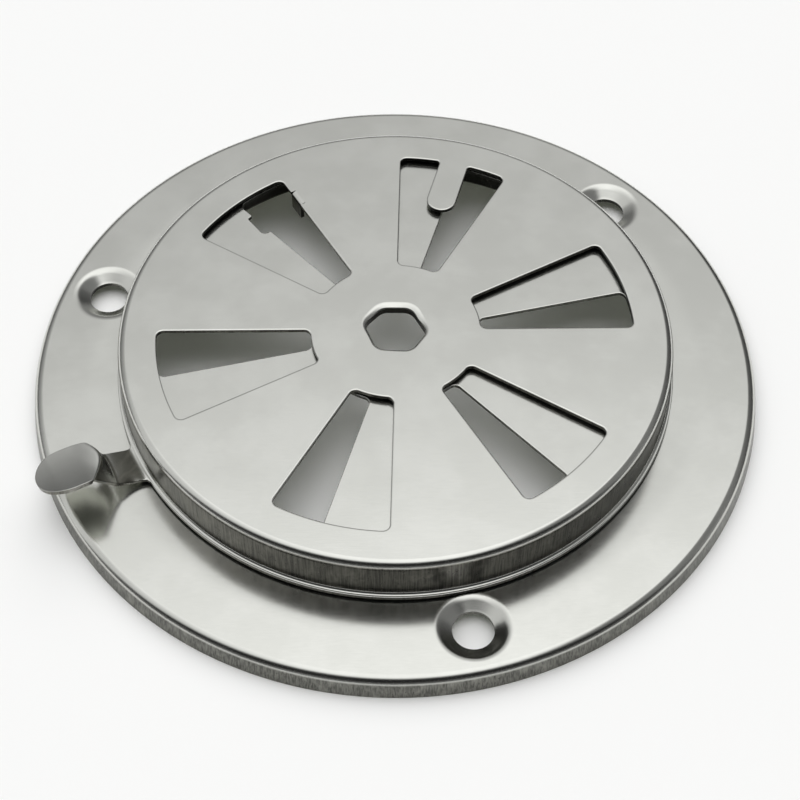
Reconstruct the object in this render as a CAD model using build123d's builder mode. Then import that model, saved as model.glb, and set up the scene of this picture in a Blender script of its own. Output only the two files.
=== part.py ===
from build123d import *
import os
from math import cos, radians, sin

os.makedirs("parts", exist_ok=True)

# Closable round ventilator pressed from stainless sheet. A slotted cap turns on a slotted base plate.
# Origin: centre of the underside, on the plane of the skirt's bottom edge. +Z up, out of the wall.
# Angles are in degrees, anticlockwise from +X seen from above. The shutter stands half open.

# ---- Driving dimensions, millimetres ----
SHEET = 0.7                   # thickness of both pressings
RUNNING_GAP = 0.05            # between faces that slide on each other
WINDOW_COUNT = 6
WINDOW_HALF_ANGLE = 14.0
WINDOW_INNER_R = 14.4
WINDOW_CORNER_R = 1.2

# Base plate
FLANGE_R = 62.5               # at the skirt's bottom edge
SKIRT_DRAFT = 0.16            # the skirt leans in by this much per mm of height
FLANGE_Z = 3.95
FLANGE_EDGE_R = 1.6
PLATEAU_R = 45.6
PLATEAU_Z = 11.7
PLATEAU_EDGE_R = 1.4
PLATEAU_FOOT_R = 0.8
BASE_WINDOW_OUTER_R = 40.6
BASE_WINDOW_ANGLE = 0.0       # centre of the first base window
PIVOT_HOLE_R = 6.1

SCREW_COUNT = 3
SCREW_PCD_R = 53.5
SCREW_ANGLE = 43.6
SCREW_HOLE_R = 3.35
DIMPLE_R = 6.3
DIMPLE_DEPTH = 1.35

# Shutter cap
CAP_R = 46.9
CAP_Z = 13.0
CAP_EDGE_R = 1.4
LIP_R = 47.7
LIP_Z = 5.1
LIP_ROOT_R = 0.62
CAP_WINDOW_OUTER_R = 40.4
CAP_WINDOW_ANGLE = 15.2       # centre of the first cap window

TONGUE_WINDOW = 1             # index of the window that keeps a flat tongue
TONGUE_WIDTH = 5.2
TONGUE_TIP_R = 28.5
TONGUE_ROOT_R = 0.6

STOP_WINDOW = 2               # index of the window with the stop tab and its notch
STOP_INNER_R = 33.4
STOP_OUTER_R = 36.7
STOP_BOTTOM_Z = 9.3
STOP_BEND_R = 0.6
RELIEF_WIDTH = 0.5
RELIEF_DEPTH = 0.9
NOTCH_INNER_R = 32.3
NOTCH_OUTER_R = 37.3
NOTCH_DEPTH_INNER = 1.5
NOTCH_DEPTH_OUTER = 1.0
NOTCH_CORNER_R = 1.0

# Lever, drawn out of the cap's lip
LEVER_ANGLE = 208.2
NECK_HALF_WIDTH = 3.3
NECK_ROOT_HALF_WIDTH = 4.4
NECK_START_R = 47.4
NECK_ROOT_LENGTH = 1.6
NECK_ROOT_R = 1.5
NECK_BEND_R = 48.7            # where the neck starts to rise
NECK_RISE_R = 52.5            # where it turns up steeply
NECK_RISE_Z = 6.2
NECK_TOP_R = 54.8             # where it reaches the thumb pad
SHOULDER_LENGTH = 2.4
SHOULDER_INNER_R = 2.0
SHOULDER_OUTER_R = 2.0
THUMB_START_R = 56.6
THUMB_HALF_WIDTH = 4.85
THUMB_DROP_R = 62.0
THUMB_TIP_R = 64.8
THUMB_Z = 11.1
THUMB_TIP_Z = 10.6
LEVER_BEND_R = 1.2

# Hub: the cap's collar goes down through the base and is swaged over a spring washer
COLLAR_R = 6.0
COLLAR_MOUTH_R = 0.65
BORE_CORNER_R = 5.4
BORE_ROUNDING = 1.0
BORE_ANGLE = -1.5
SWAGE_R = 7.9
SWAGE_Z = 9.5
SWAGE_THICKNESS = 0.7
FLARE_Z = 11.45               # below here the bore opens out
FLARE_R = 5.2
WAIST_Z = 10.75               # and from here, below the base plate, it opens out more
WAIST_R = 5.75
FLARE_MOUTH_R = 6.95
NECK_Z = 10.9                 # the collar's outside opens out below here
NECK_FOOT_R = 7.0
SPACER_R = 10.5
SPRING_R = 10.2
SPRING_THICKNESS = 0.4
SPRING_INNER_R = 7.1

WINDOW_PITCH = 360 / WINDOW_COUNT
NOTCH_ANGLE = BASE_WINDOW_ANGLE + STOP_WINDOW * WINDOW_PITCH + WINDOW_HALF_ANGLE
STOP_ANGLE = CAP_WINDOW_ANGLE + STOP_WINDOW * WINDOW_PITCH - WINDOW_HALF_ANGLE
STOP_MIDDLE_R = (STOP_INNER_R + STOP_OUTER_R) / 2
FLANGE_CORNER_R = FLANGE_R - SKIRT_DRAFT * FLANGE_Z
SPACER_THICKNESS = CAP_Z - SHEET - PLATEAU_Z - RUNNING_GAP


def radial_plane(angle, height=0.0):
    """Horizontal plane whose X axis points out from the centre at the given angle."""
    return Plane(origin=(0, 0, height), x_dir=(cos(radians(angle)), sin(radians(angle)), 0), z_dir=(0, 0, 1))


def sheet_section(corners, radii, side):
    """Closed section of bent sheet, from the line of its outer face."""
    with BuildSketch() as section:
        with BuildLine():
            FilletPolyline(*corners, radius=radii)
            offset(amount=SHEET, side=side)
        make_face()
    return section.sketch


def window_face(outer_radius):
    """One sector window, centred on the X axis, with its corners still sharp."""
    half = radians(WINDOW_HALF_ANGLE)
    with BuildSketch() as window:
        with BuildLine():
            for radius in (WINDOW_INNER_R, outer_radius):
                CenterArc((0, 0), radius, -WINDOW_HALF_ANGLE, 2 * WINDOW_HALF_ANGLE)
            for turn in (-half, half):
                inner_end = (WINDOW_INNER_R * cos(turn), WINDOW_INNER_R * sin(turn))
                outer_end = (outer_radius * cos(turn), outer_radius * sin(turn))
                Line(inner_end, outer_end)
        make_face()
    return window.sketch


def rounded_window(outer_radius):
    """One sector window with rounded corners."""
    with BuildSketch() as window:
        add(window_face(outer_radius))
        fillet(window.vertices(), WINDOW_CORNER_R)
    return window.sketch


def tongue_window():
    """The cap window that keeps a tongue, reaching in from the middle of its outer side."""
    half_width = TONGUE_WIDTH / 2
    with BuildSketch() as window:
        add(window_face(CAP_WINDOW_OUTER_R))
        fillet(window.vertices(), WINDOW_CORNER_R)
        with BuildLine():
            tip = TONGUE_TIP_R + half_width
            root = CAP_WINDOW_OUTER_R + SHEET
            Line((root, -half_width), (tip, -half_width))
            ThreePointArc((tip, -half_width), (TONGUE_TIP_R, 0), (tip, half_width))
            Line((tip, half_width), (root, half_width))
            Line((root, half_width), (root, -half_width))
        make_face(mode=Mode.SUBTRACT)
        roots = window.vertices().filter_by(lambda v: abs(abs(v.Y) - half_width) < 0.01 and v.X > tip + 1)
        fillet(roots, TONGUE_ROOT_R)
    return window.sketch


def stop_notch():
    """Notch in the side of a base window, which lets the stop tab travel on to the closed position."""
    with BuildSketch() as notch:
        with BuildLine():
            Polyline(
                (NOTCH_INNER_R, -SHEET),
                (NOTCH_OUTER_R, -SHEET),
                (NOTCH_OUTER_R, NOTCH_DEPTH_OUTER),
                (NOTCH_INNER_R, NOTCH_DEPTH_INNER),
                close=True,
            )
        make_face()
        fillet(notch.vertices().filter_by_position(Axis.Y, 0, 5).sort_by(Axis.X)[0], NOTCH_CORNER_R)
    return notch.sketch


# ---- Base plate ----
base_corners = [
    (FLANGE_R + SKIRT_DRAFT, -1.0),
    (FLANGE_CORNER_R, FLANGE_Z),
    (PLATEAU_R, FLANGE_Z),
    (PLATEAU_R, PLATEAU_Z),
    (PIVOT_HOLE_R, PLATEAU_Z),
]
base_radii = [FLANGE_EDGE_R, PLATEAU_FOOT_R, PLATEAU_EDGE_R]

# The sunk ring around one screw hole, made on the Z axis and set into the flange three times.
with BuildPart() as dimple_ring:
    with BuildSketch(Plane.XZ):
        with BuildLine():
            hole_z = FLANGE_Z - DIMPLE_DEPTH
            top = Spline((DIMPLE_R, FLANGE_Z), (SCREW_HOLE_R, hole_z), tangents=[(-1, 0), (-1, -0.6)])
            bottom_z = hole_z - SHEET
            bottom = Spline((DIMPLE_R, FLANGE_Z - SHEET), (SCREW_HOLE_R, bottom_z), tangents=[(-1, 0), (-1, -0.6)])
            Line(top @ 0, bottom @ 0)
            Line(top @ 1, bottom @ 1)
        make_face()
    revolve(axis=Axis.Z)

with BuildPart() as base_plate:
    with BuildSketch(Plane.XZ):
        add(sheet_section(base_corners, base_radii, Side.LEFT))
    revolve(axis=Axis.Z)
    split(bisect_by=Plane.XY, keep=Keep.TOP)

    # Six windows through the plateau, one of them notched for the stop tab.
    with BuildSketch(Plane.XY.offset(PLATEAU_Z)):
        with PolarLocations(0, WINDOW_COUNT, start_angle=BASE_WINDOW_ANGLE):
            add(rounded_window(BASE_WINDOW_OUTER_R))
    extrude(amount=-2 * SHEET, mode=Mode.SUBTRACT)
    with BuildSketch(radial_plane(NOTCH_ANGLE, PLATEAU_Z)):
        add(stop_notch())
    extrude(amount=-2 * SHEET, mode=Mode.SUBTRACT)

    # Three screw holes, each in a sunk ring.
    with BuildSketch(Plane.XY):
        with PolarLocations(SCREW_PCD_R, SCREW_COUNT, start_angle=SCREW_ANGLE):
            Circle(DIMPLE_R)
    extrude(amount=FLANGE_Z + SHEET, mode=Mode.SUBTRACT)
    with PolarLocations(SCREW_PCD_R, SCREW_COUNT, start_angle=SCREW_ANGLE):
        add(dimple_ring.part)
base_plate.part.label = "base_plate"
export_step(base_plate.part, "parts/base_plate.step")


# ---- Shutter cap ----
cap_corners = [(LIP_R, LIP_Z), (CAP_R, LIP_Z), (CAP_R, CAP_Z), (COLLAR_R - SHEET, CAP_Z)]
cap_radii = [LIP_ROOT_R, CAP_EDGE_R]

# The lever is a strip bent in its radial plane and trimmed to its outline seen from above.
lever_section_plane = Plane(
    origin=(0, 0, 0),
    x_dir=(cos(radians(LEVER_ANGLE)), sin(radians(LEVER_ANGLE)), 0),
    z_dir=(sin(radians(LEVER_ANGLE)), -cos(radians(LEVER_ANGLE)), 0),
)
lever_corners = [
    (NECK_START_R, LIP_Z),
    (NECK_BEND_R, LIP_Z),
    (NECK_RISE_R, NECK_RISE_Z),
    (NECK_TOP_R, THUMB_Z),
    (THUMB_DROP_R, THUMB_Z),
    (THUMB_TIP_R, THUMB_TIP_Z),
]
half_outline = [
    (NECK_START_R, NECK_ROOT_HALF_WIDTH),
    (NECK_START_R + NECK_ROOT_LENGTH, NECK_HALF_WIDTH),
    (THUMB_START_R - SHOULDER_LENGTH, NECK_HALF_WIDTH),
    (THUMB_START_R, THUMB_HALF_WIDTH),
    (THUMB_TIP_R, THUMB_HALF_WIDTH),
]
half_radii = [0, NECK_ROOT_R, SHOULDER_INNER_R, SHOULDER_OUTER_R, THUMB_HALF_WIDTH - 0.01]
mirrored = [(x, -y) for x, y in reversed(half_outline)]

with BuildPart() as lever:
    with BuildSketch(lever_section_plane):
        add(sheet_section(lever_corners, LEVER_BEND_R, Side.RIGHT))
    extrude(amount=THUMB_HALF_WIDTH + 1, both=True)
    with BuildSketch(radial_plane(LEVER_ANGLE)):
        with BuildLine():
            FilletPolyline(*half_outline, *mirrored, radius=half_radii + half_radii[::-1], close=True)
        make_face()
    extrude(amount=CAP_Z, mode=Mode.INTERSECT)

# Half sections of the collar's splayed foot and of the hollow inside it.
neck_corners = [(0, NECK_Z), (COLLAR_R, NECK_Z), (NECK_FOOT_R, SWAGE_Z + SWAGE_THICKNESS), (0, SWAGE_Z + SWAGE_THICKNESS)]
flare_corners = [(0, FLARE_Z), (FLARE_R, FLARE_Z), (WAIST_R, WAIST_Z), (FLARE_MOUTH_R, SWAGE_Z), (0, SWAGE_Z)]

with BuildPart() as shutter_cap:
    with BuildSketch(Plane.XZ):
        add(sheet_section(cap_corners, cap_radii, Side.LEFT))
    revolve(axis=Axis.Z)
    add(lever.part)

    # Six windows, one of them with a tongue left in it.
    with BuildSketch(Plane.XY.offset(CAP_Z)):
        for index in range(WINDOW_COUNT):
            angle = CAP_WINDOW_ANGLE + index * WINDOW_PITCH
            face = tongue_window() if index == TONGUE_WINDOW else rounded_window(CAP_WINDOW_OUTER_R)
            add(face.rotate(Axis.Z, angle))
    extrude(amount=-2 * SHEET, mode=Mode.SUBTRACT)

    # Stop tab: relief cuts beside it, then the leg, with the bend rounded over.
    stop_plane = radial_plane(STOP_ANGLE, CAP_Z)
    with BuildSketch(stop_plane):
        for middle in (STOP_INNER_R - RELIEF_WIDTH / 2, STOP_OUTER_R + RELIEF_WIDTH / 2):
            with Locations((middle, 0)):
                Rectangle(RELIEF_WIDTH, 2 * RELIEF_DEPTH)
    extrude(amount=-2 * SHEET, mode=Mode.SUBTRACT)
    with BuildSketch(stop_plane):
        with Locations((STOP_MIDDLE_R, -SHEET / 2)):
            Rectangle(STOP_OUTER_R - STOP_INNER_R, SHEET)
    extrude(amount=STOP_BOTTOM_Z - CAP_Z)
    bend_middle = stop_plane.from_local_coords((STOP_MIDDLE_R, 0, 0))
    fillet(shutter_cap.edges().sort_by_distance(bend_middle)[0], STOP_BEND_R)

    # Collar with its swaged end, then the six-sided bore with a rounded mouth.
    with BuildSketch(Plane.XY.offset(SWAGE_Z)):
        Circle(COLLAR_R)
    extrude(amount=CAP_Z - SWAGE_Z)
    with BuildSketch(Plane.XY.offset(SWAGE_Z)):
        Circle(SWAGE_R)
    extrude(amount=SWAGE_THICKNESS)
    with BuildSketch(Plane.XZ):
        with BuildLine():
            Polyline(*neck_corners, close=True)
        make_face()
    revolve(axis=Axis.Z)
    with BuildSketch(Plane.XY.offset(SWAGE_Z)) as bore:
        RegularPolygon(BORE_CORNER_R, 6, rotation=BORE_ANGLE)
        fillet(bore.vertices(), BORE_ROUNDING)
    extrude(amount=CAP_Z, mode=Mode.SUBTRACT)
    with BuildSketch(Plane.XZ):
        with BuildLine():
            Polyline(*flare_corners, close=True)
        make_face()
    revolve(axis=Axis.Z, mode=Mode.SUBTRACT)
    mouth = shutter_cap.faces().filter_by(Axis.Z).sort_by(Axis.Z)[-1].inner_wires()
    bore_mouth = min(mouth, key=lambda wire: wire.length)
    fillet(bore_mouth.edges(), COLLAR_MOUTH_R)
shutter_cap.part.label = "shutter_cap"
export_step(shutter_cap.part, "parts/shutter_cap.step")


# ---- Spacer washer: keeps the two sheets apart around the collar ----
with BuildPart() as spacer_washer:
    with BuildSketch(Plane.XY.offset(PLATEAU_Z)):
        Circle(SPACER_R)
        Circle(PIVOT_HOLE_R, mode=Mode.SUBTRACT)
    extrude(amount=SPACER_THICKNESS)
spacer_washer.part.label = "spacer_washer"
export_step(spacer_washer.part, "parts/spacer_washer.step")


# ---- Spring washer: a shallow cone between the swaged end and the underside of the base ----
spring_outer_z = PLATEAU_Z - SHEET - RUNNING_GAP
spring_inner_z = SWAGE_Z + SWAGE_THICKNESS + SPRING_THICKNESS
with BuildPart() as spring_washer:
    with BuildSketch(Plane.XZ):
        with BuildLine():
            Polyline(
                (SPRING_INNER_R, spring_inner_z),
                (SPRING_R, spring_outer_z),
                (SPRING_R, spring_outer_z - SPRING_THICKNESS),
                (SPRING_INNER_R, spring_inner_z - SPRING_THICKNESS),
                close=True,
            )
        make_face()
    revolve(axis=Axis.Z)
spring_washer.part.label = "spring_washer"
export_step(spring_washer.part, "parts/spring_washer.step")
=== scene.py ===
import math

import bmesh
import bpy
import numpy as np
from mathutils import Matrix, Vector
from mathutils.geometry import delaunay_2d_cdt


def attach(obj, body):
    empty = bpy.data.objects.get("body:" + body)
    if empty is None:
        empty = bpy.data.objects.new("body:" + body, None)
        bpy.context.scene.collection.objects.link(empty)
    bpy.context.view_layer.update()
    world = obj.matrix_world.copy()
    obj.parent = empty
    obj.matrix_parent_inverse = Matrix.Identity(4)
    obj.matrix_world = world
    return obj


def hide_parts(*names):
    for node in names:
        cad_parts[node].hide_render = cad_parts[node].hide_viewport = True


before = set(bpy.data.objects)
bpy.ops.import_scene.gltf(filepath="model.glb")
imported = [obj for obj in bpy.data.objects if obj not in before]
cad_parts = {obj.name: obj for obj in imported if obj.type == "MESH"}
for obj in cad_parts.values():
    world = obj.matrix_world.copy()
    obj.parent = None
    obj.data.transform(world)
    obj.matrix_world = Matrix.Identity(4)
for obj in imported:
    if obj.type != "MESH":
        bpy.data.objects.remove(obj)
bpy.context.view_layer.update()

# Dimensions are in millimetres and angles in degrees, anticlockwise from +X, as in the CAD frame.
# Shells are built in millimetres and scaled to metres when their mesh is made.
MM = 0.001
SHEET = 0.7
WINDOW_COUNT = 6
WINDOW_PITCH = 60.0
WINDOW_HALF_ANGLE = 14.0
WINDOW_INNER_R = 14.4
WINDOW_CORNER_R = 1.2
PUNCH_ROLL = 0.16             # width of the rounding on the side that the punch came from
CAP_WINDOW_ROLL = 0.3         # the same on the cap's windows
PUNCH_DROP = 0.35             # the rounding's depth as a part of its width
BURR_ROLL = 0.04              # rounding on the other side
EDGE_ARC = 7                  # rows of points across the first rounding
BURR_ARC = 3                  # and across the other one

# Mesh spacing
BASE_COLUMNS = 720            # round the base plate
CAP_COLUMNS = 701             # round the cap, from one side of the lever to the other
LEVER_COLUMNS = 29            # across the lever
ROUNDING_STEP = 11.0          # between points of an outline's rounding, in degrees
LOOP_STEP = 0.7               # between points of an outline's straight runs
FILL_PITCH = 1.6              # between points inside a flat face
FLANGE_PITCH = 1.5            # the same on the flange
FILL_TWIST = 37               # turns each ring of those points against the last
FILL_GAP = 0.22               # no point lies nearer to an outline than this
TANGENT_STEP = 0.12           # how far ahead and behind the lever's outline is read for its direction

# Base plate
FLANGE_R = 62.5
SKIRT_DRAFT = 0.16
FLANGE_Z = 3.95
FLANGE_EDGE_R = 1.6
STEP_R = 50.5                 # the flange is very slightly dished inside this radius
STEP_RISE = -0.15
STEP_WIDTH = 5.8
STEP_RINGS = (49.2, 53.0, 0.4)   # rings of points that carry the step: first, end and pitch
SKIRT_RIM = 0.1               # rounding of the skirt's cut edge
PLATEAU_R = 45.6
PLATEAU_Z = 11.7
PLATEAU_EDGE_R = 1.4
PLATEAU_FOOT_R = 0.8
BASE_WINDOW_OUTER_R = 40.6
PIVOT_HOLE_R = 6.1
SCREW_ANGLES = (43.6, 163.6, 283.6)
SCREW_PCD_R = 53.5
SCREW_HOLE_R = 3.35
DIMPLE_R = 6.3
DIMPLE_SHOULDER = 0.45        # part of the sunk ring's width that is rounded over
DIMPLE_DEPTH = 1.35
DIMPLE_RINGS = (3.8, 6.7, 0.28)  # rings of points round a screw hole: first, end and pitch
DIMPLE_CLEAR = 6.8            # no other points lie nearer to the hole's centre than this
NOTCH = ((32.3, 0.0, 0.25), (32.3, 1.5, 1.0), (37.3, 1.0, 0.4), (37.3, 0.0, 0.25))   # radius, depth, rounding

# Shutter cap
CAP_R = 46.9
CAP_Z = 13.0
CAP_EDGE_R = 1.4
LIP_R = 47.7
LIP_Z = 5.1
LIP_ROOT_R = 0.62
CAP_WINDOW_OUTER_R = 40.4
CAP_WINDOW_ANGLE = 15.2
TONGUE_WINDOW = 1
TONGUE_HALF_WIDTH = 2.6
TONGUE_TIP_R = 28.5
TONGUE_ROOT_R = 0.6
TONGUE_ROOT_GAP = 2.0         # the window's outer arc stops this many degrees short of the tongue
TONGUE_TIP_STEPS = 16
STOP_WINDOW = 2
STOP_ANGLE = CAP_WINDOW_ANGLE + STOP_WINDOW * WINDOW_PITCH - WINDOW_HALF_ANGLE
STOP_INNER_R = 33.4
STOP_OUTER_R = 36.7
STOP_BOTTOM_Z = 9.3
STOP_EDGE_ROLL = 0.05
STOP_WINDOW_ROLL = 0.06       # the window's edge is this sharp beside the stop tab
STOP_WINDOW_SHARP = 2.2       # as far as this from the tab's middle
STOP_WINDOW_FADE = 1.5        # and reaches its full rounding over this length
RELIEF_WIDTH = 0.12
RELIEF_DEPTH = 0.9
RELIEF_ROUNDING = 0.1
MOUTH_ROLL = 0.3              # rounding of the bore's mouth
MOUTH_START = 22              # the rounding starts at this slope
MOUTH_LEAD = 0.9              # the shallow slope that leads into it at the back
MOUTH_LEAD_ROWS = ((1.0, 0.0, 0), (0.8, 0.02, 6), (0.55, 0.08, 12), (0.25, 0.19, 19))   # part, drop, lean
MOUTH_LEAD_DROP = 0.3
COLLAR_R = 6.0
COLLAR_ROOT_R = 0.2
SWAGE_R = 7.9
SWAGE_Z = 9.5
SWAGE_THICKNESS = 0.7
FLARE = ((5.2, 11.45), (5.75, 10.75), (6.95, 9.5))   # the bore opens out down to the swaged end
FLARE_NECK_Z = 10.9
FLARE_FOOT_R = 7.0
BORE_CORNERS = (              # angle and radius
    (-127.0, 5.3), (-60.0, 5.2), (-4.0, 5.35), (62.0, 5.4), (116.0, 5.3), (166.0, 5.5),
)
BORE_CORNER_R = 2.2

# Lever
LEVER_ANGLE = 208.2
LEVER_ROOT_HALF_WIDTH = 4.4
LEVER_ROOT_LENGTH = 1.6       # the root narrows to the neck over this length
LEVER_ROOT_BOW = 2.0          # and the lip's curve fades out over this length
NECK_LINE = ((47.55, 5.1), (48.2, 5.1), (52.6, 6.7))
PAD_LINE = ((61.8, 11.1), (64.8, 10.6))
PAD_Z = 11.1
PAD_FOLD = (53.6, 0.17, -0.8)    # the fold below the pad: its radius, its bow and the middle of the bow
LEVER_BEND_R = 1.1
NECK_HALF_WIDTH = 3.3
NECK_DENT = (50.2, 1.3, 0.35)    # a dent on the near side of the neck: place, half length, depth
NECK_DENT_SIDE = 0.35         # it starts this far across
PAD_WIDENS = (52.3, 5.4)      # the lever widens to the pad from here, over this length
PAD_LEANS = (52.5, 5)         # the pad's twist and hollow grow from here, over this length
PAD_HALF_WIDTH = 4.85
PAD_TAPER_R = 59.4            # the pad narrows from here to its round tip
PAD_TIP_R = 64.78
PAD_TIP_SHAPE = 2.15          # 2 would make the tip an ellipse
PAD_TWIST = 14.0              # the pad leans away from its near side
PAD_HOLLOW = 0.3


def new_object(name, data):
    """An object for some data, linked to the scene."""
    obj = bpy.data.objects.new(name, data)
    bpy.context.scene.collection.objects.link(obj)
    return obj


def polar(radius, angle):
    a = math.radians(angle)
    return np.array((radius * math.cos(a), radius * math.sin(a)))


def turned(points, angle):
    """2-D points turned about the origin."""
    c, s = math.cos(math.radians(angle)), math.sin(math.radians(angle))
    return np.asarray(points, float) @ np.array(((c, s), (-s, c)))


def rounded_loop(corners, step=LOOP_STEP):
    """Closed outline through (x, y, rounding) corners, as evenly stepped points.

    A corner with no rounding is kept as a point.
    """
    n = len(corners)
    xy = [np.array(c[:2], float) for c in corners]
    runs = []
    for i, corner in enumerate(corners):
        p, before, after = xy[i], xy[i - 1], xy[(i + 1) % n]
        to_before = (before - p) / np.linalg.norm(before - p)
        to_after = (after - p) / np.linalg.norm(after - p)
        if corner[2] <= 0:
            runs.append([p])
            continue
        half = math.acos(max(-1, min(1, float(to_before @ to_after)))) / 2
        bisector = to_before + to_after
        centre = p + bisector / np.linalg.norm(bisector) * corner[2] / math.sin(half)
        start = p + to_before * corner[2] / math.tan(half) - centre
        sweep = math.pi - 2 * half
        if to_before[0] * to_after[1] - to_before[1] * to_after[0] > 0:
            sweep = -sweep
        count = max(4, round(abs(sweep) / math.radians(ROUNDING_STEP)))
        runs.append([turned(start, math.degrees(sweep * k / count)) + centre for k in range(count + 1)])
    loop = []
    for i, run in enumerate(runs):
        loop += run
        start, end = run[-1], runs[(i + 1) % n][0]
        pieces = max(1, round(np.linalg.norm(end - start) / step))
        loop += [start + (end - start) * k / pieces for k in range(1, pieces)]
    return np.array(loop)


def arc_corners(radius, start, end, count):
    """Points of an arc about the origin, without its ends, as corners with no rounding."""
    return [(*polar(radius, start + (end - start) * k / count), 0.0) for k in range(1, count)]


def window_loop(outer_r, angle, side_cut=(), tongue=False):
    """One sector window, anticlockwise.

    side_cut is a side, "clockwise" or "anticlockwise", and the corners of a cut in it as
    (radius, depth, rounding).
    """
    half = WINDOW_HALF_ANGLE
    side, cut = side_cut or ("", ())
    corners = [(*polar(WINDOW_INNER_R, -half), WINDOW_CORNER_R)]
    if side == "clockwise":
        corners += [(*turned((x, -y), -half), r) for x, y, r in cut]
    corners.append((*polar(outer_r, -half), WINDOW_CORNER_R))
    if tongue:
        edge = math.degrees(math.asin(TONGUE_HALF_WIDTH / outer_r))
        corners += arc_corners(outer_r, -half, -edge - TONGUE_ROOT_GAP, 6)[1:]
        corners.append((*polar(outer_r, -edge), TONGUE_ROOT_R))
        centre = TONGUE_TIP_R + TONGUE_HALF_WIDTH
        for k in range(TONGUE_TIP_STEPS + 1):
            a = math.pi * (0.5 + k / TONGUE_TIP_STEPS)
            x, y = centre + TONGUE_HALF_WIDTH * math.cos(a), -TONGUE_HALF_WIDTH * math.sin(a)
            corners.append((x, y, 0.0))
        corners.append((*polar(outer_r, edge), TONGUE_ROOT_R))
        corners += arc_corners(outer_r, edge + TONGUE_ROOT_GAP, half, 6)[:-1]
    else:
        corners += arc_corners(outer_r, -half, half, 24)[1:-1]
    corners.append((*polar(outer_r, half), WINDOW_CORNER_R))
    if side == "anticlockwise":
        corners += [(*turned((x, y), half), r) for x, y, r in reversed(cut)]
    corners.append((*polar(WINDOW_INNER_R, half), WINDOW_CORNER_R))
    corners += arc_corners(WINDOW_INNER_R, half, -half, 10)[1:-1]
    return turned(rounded_loop(corners), angle)


def loop_normals(loop):
    """Unit vectors that point into an anticlockwise loop."""
    edges = np.roll(loop, -1, 0) - loop
    edges /= np.linalg.norm(edges, axis=1)[:, None]
    tangent = edges + np.roll(edges, 1, 0)
    tangent /= np.linalg.norm(tangent, axis=1)[:, None]
    return np.stack((-tangent[:, 1], tangent[:, 0]), 1)


def inside(points, loop):
    """Which 2-D points lie inside a closed loop."""
    x, y = points[:, 0][:, None], points[:, 1][:, None]
    x0, y0 = loop[:, 0], loop[:, 1]
    x1, y1 = np.roll(x0, -1), np.roll(y0, -1)
    spans = (y0 > y) != (y1 > y)
    with np.errstate(divide="ignore", invalid="ignore"):
        crossing = x0 + (y - y0) * (x1 - x0) / (y1 - y0)
    return (spans & (x < crossing)).sum(1) % 2 == 1


def edge_profile(top_roll, bottom_roll, thickness):
    """Section of a sheet's edge, from its top face round to its bottom face.

    Rows are (outward, down, normal out, normal up).
    """
    rows = []
    for k in range(EDGE_ARC):
        a = math.pi / 2 * k / (EDGE_ARC - 1)
        n_out, n_up = PUNCH_DROP * math.sin(a), math.cos(a)
        length = math.hypot(n_out, n_up)
        down = PUNCH_DROP * top_roll * (1 - math.cos(a))
        rows.append((top_roll * math.sin(a), down, n_out / length, n_up / length))
    for k in range(BURR_ARC):
        a = math.pi / 2 * k / (BURR_ARC - 1)
        out = top_roll - bottom_roll * (1 - math.cos(a))
        rows.append((out, thickness - bottom_roll * (1 - math.sin(a)), math.cos(a), -math.sin(a)))
    return rows


EDGE = edge_profile(PUNCH_ROLL, BURR_ROLL, SHEET)


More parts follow.
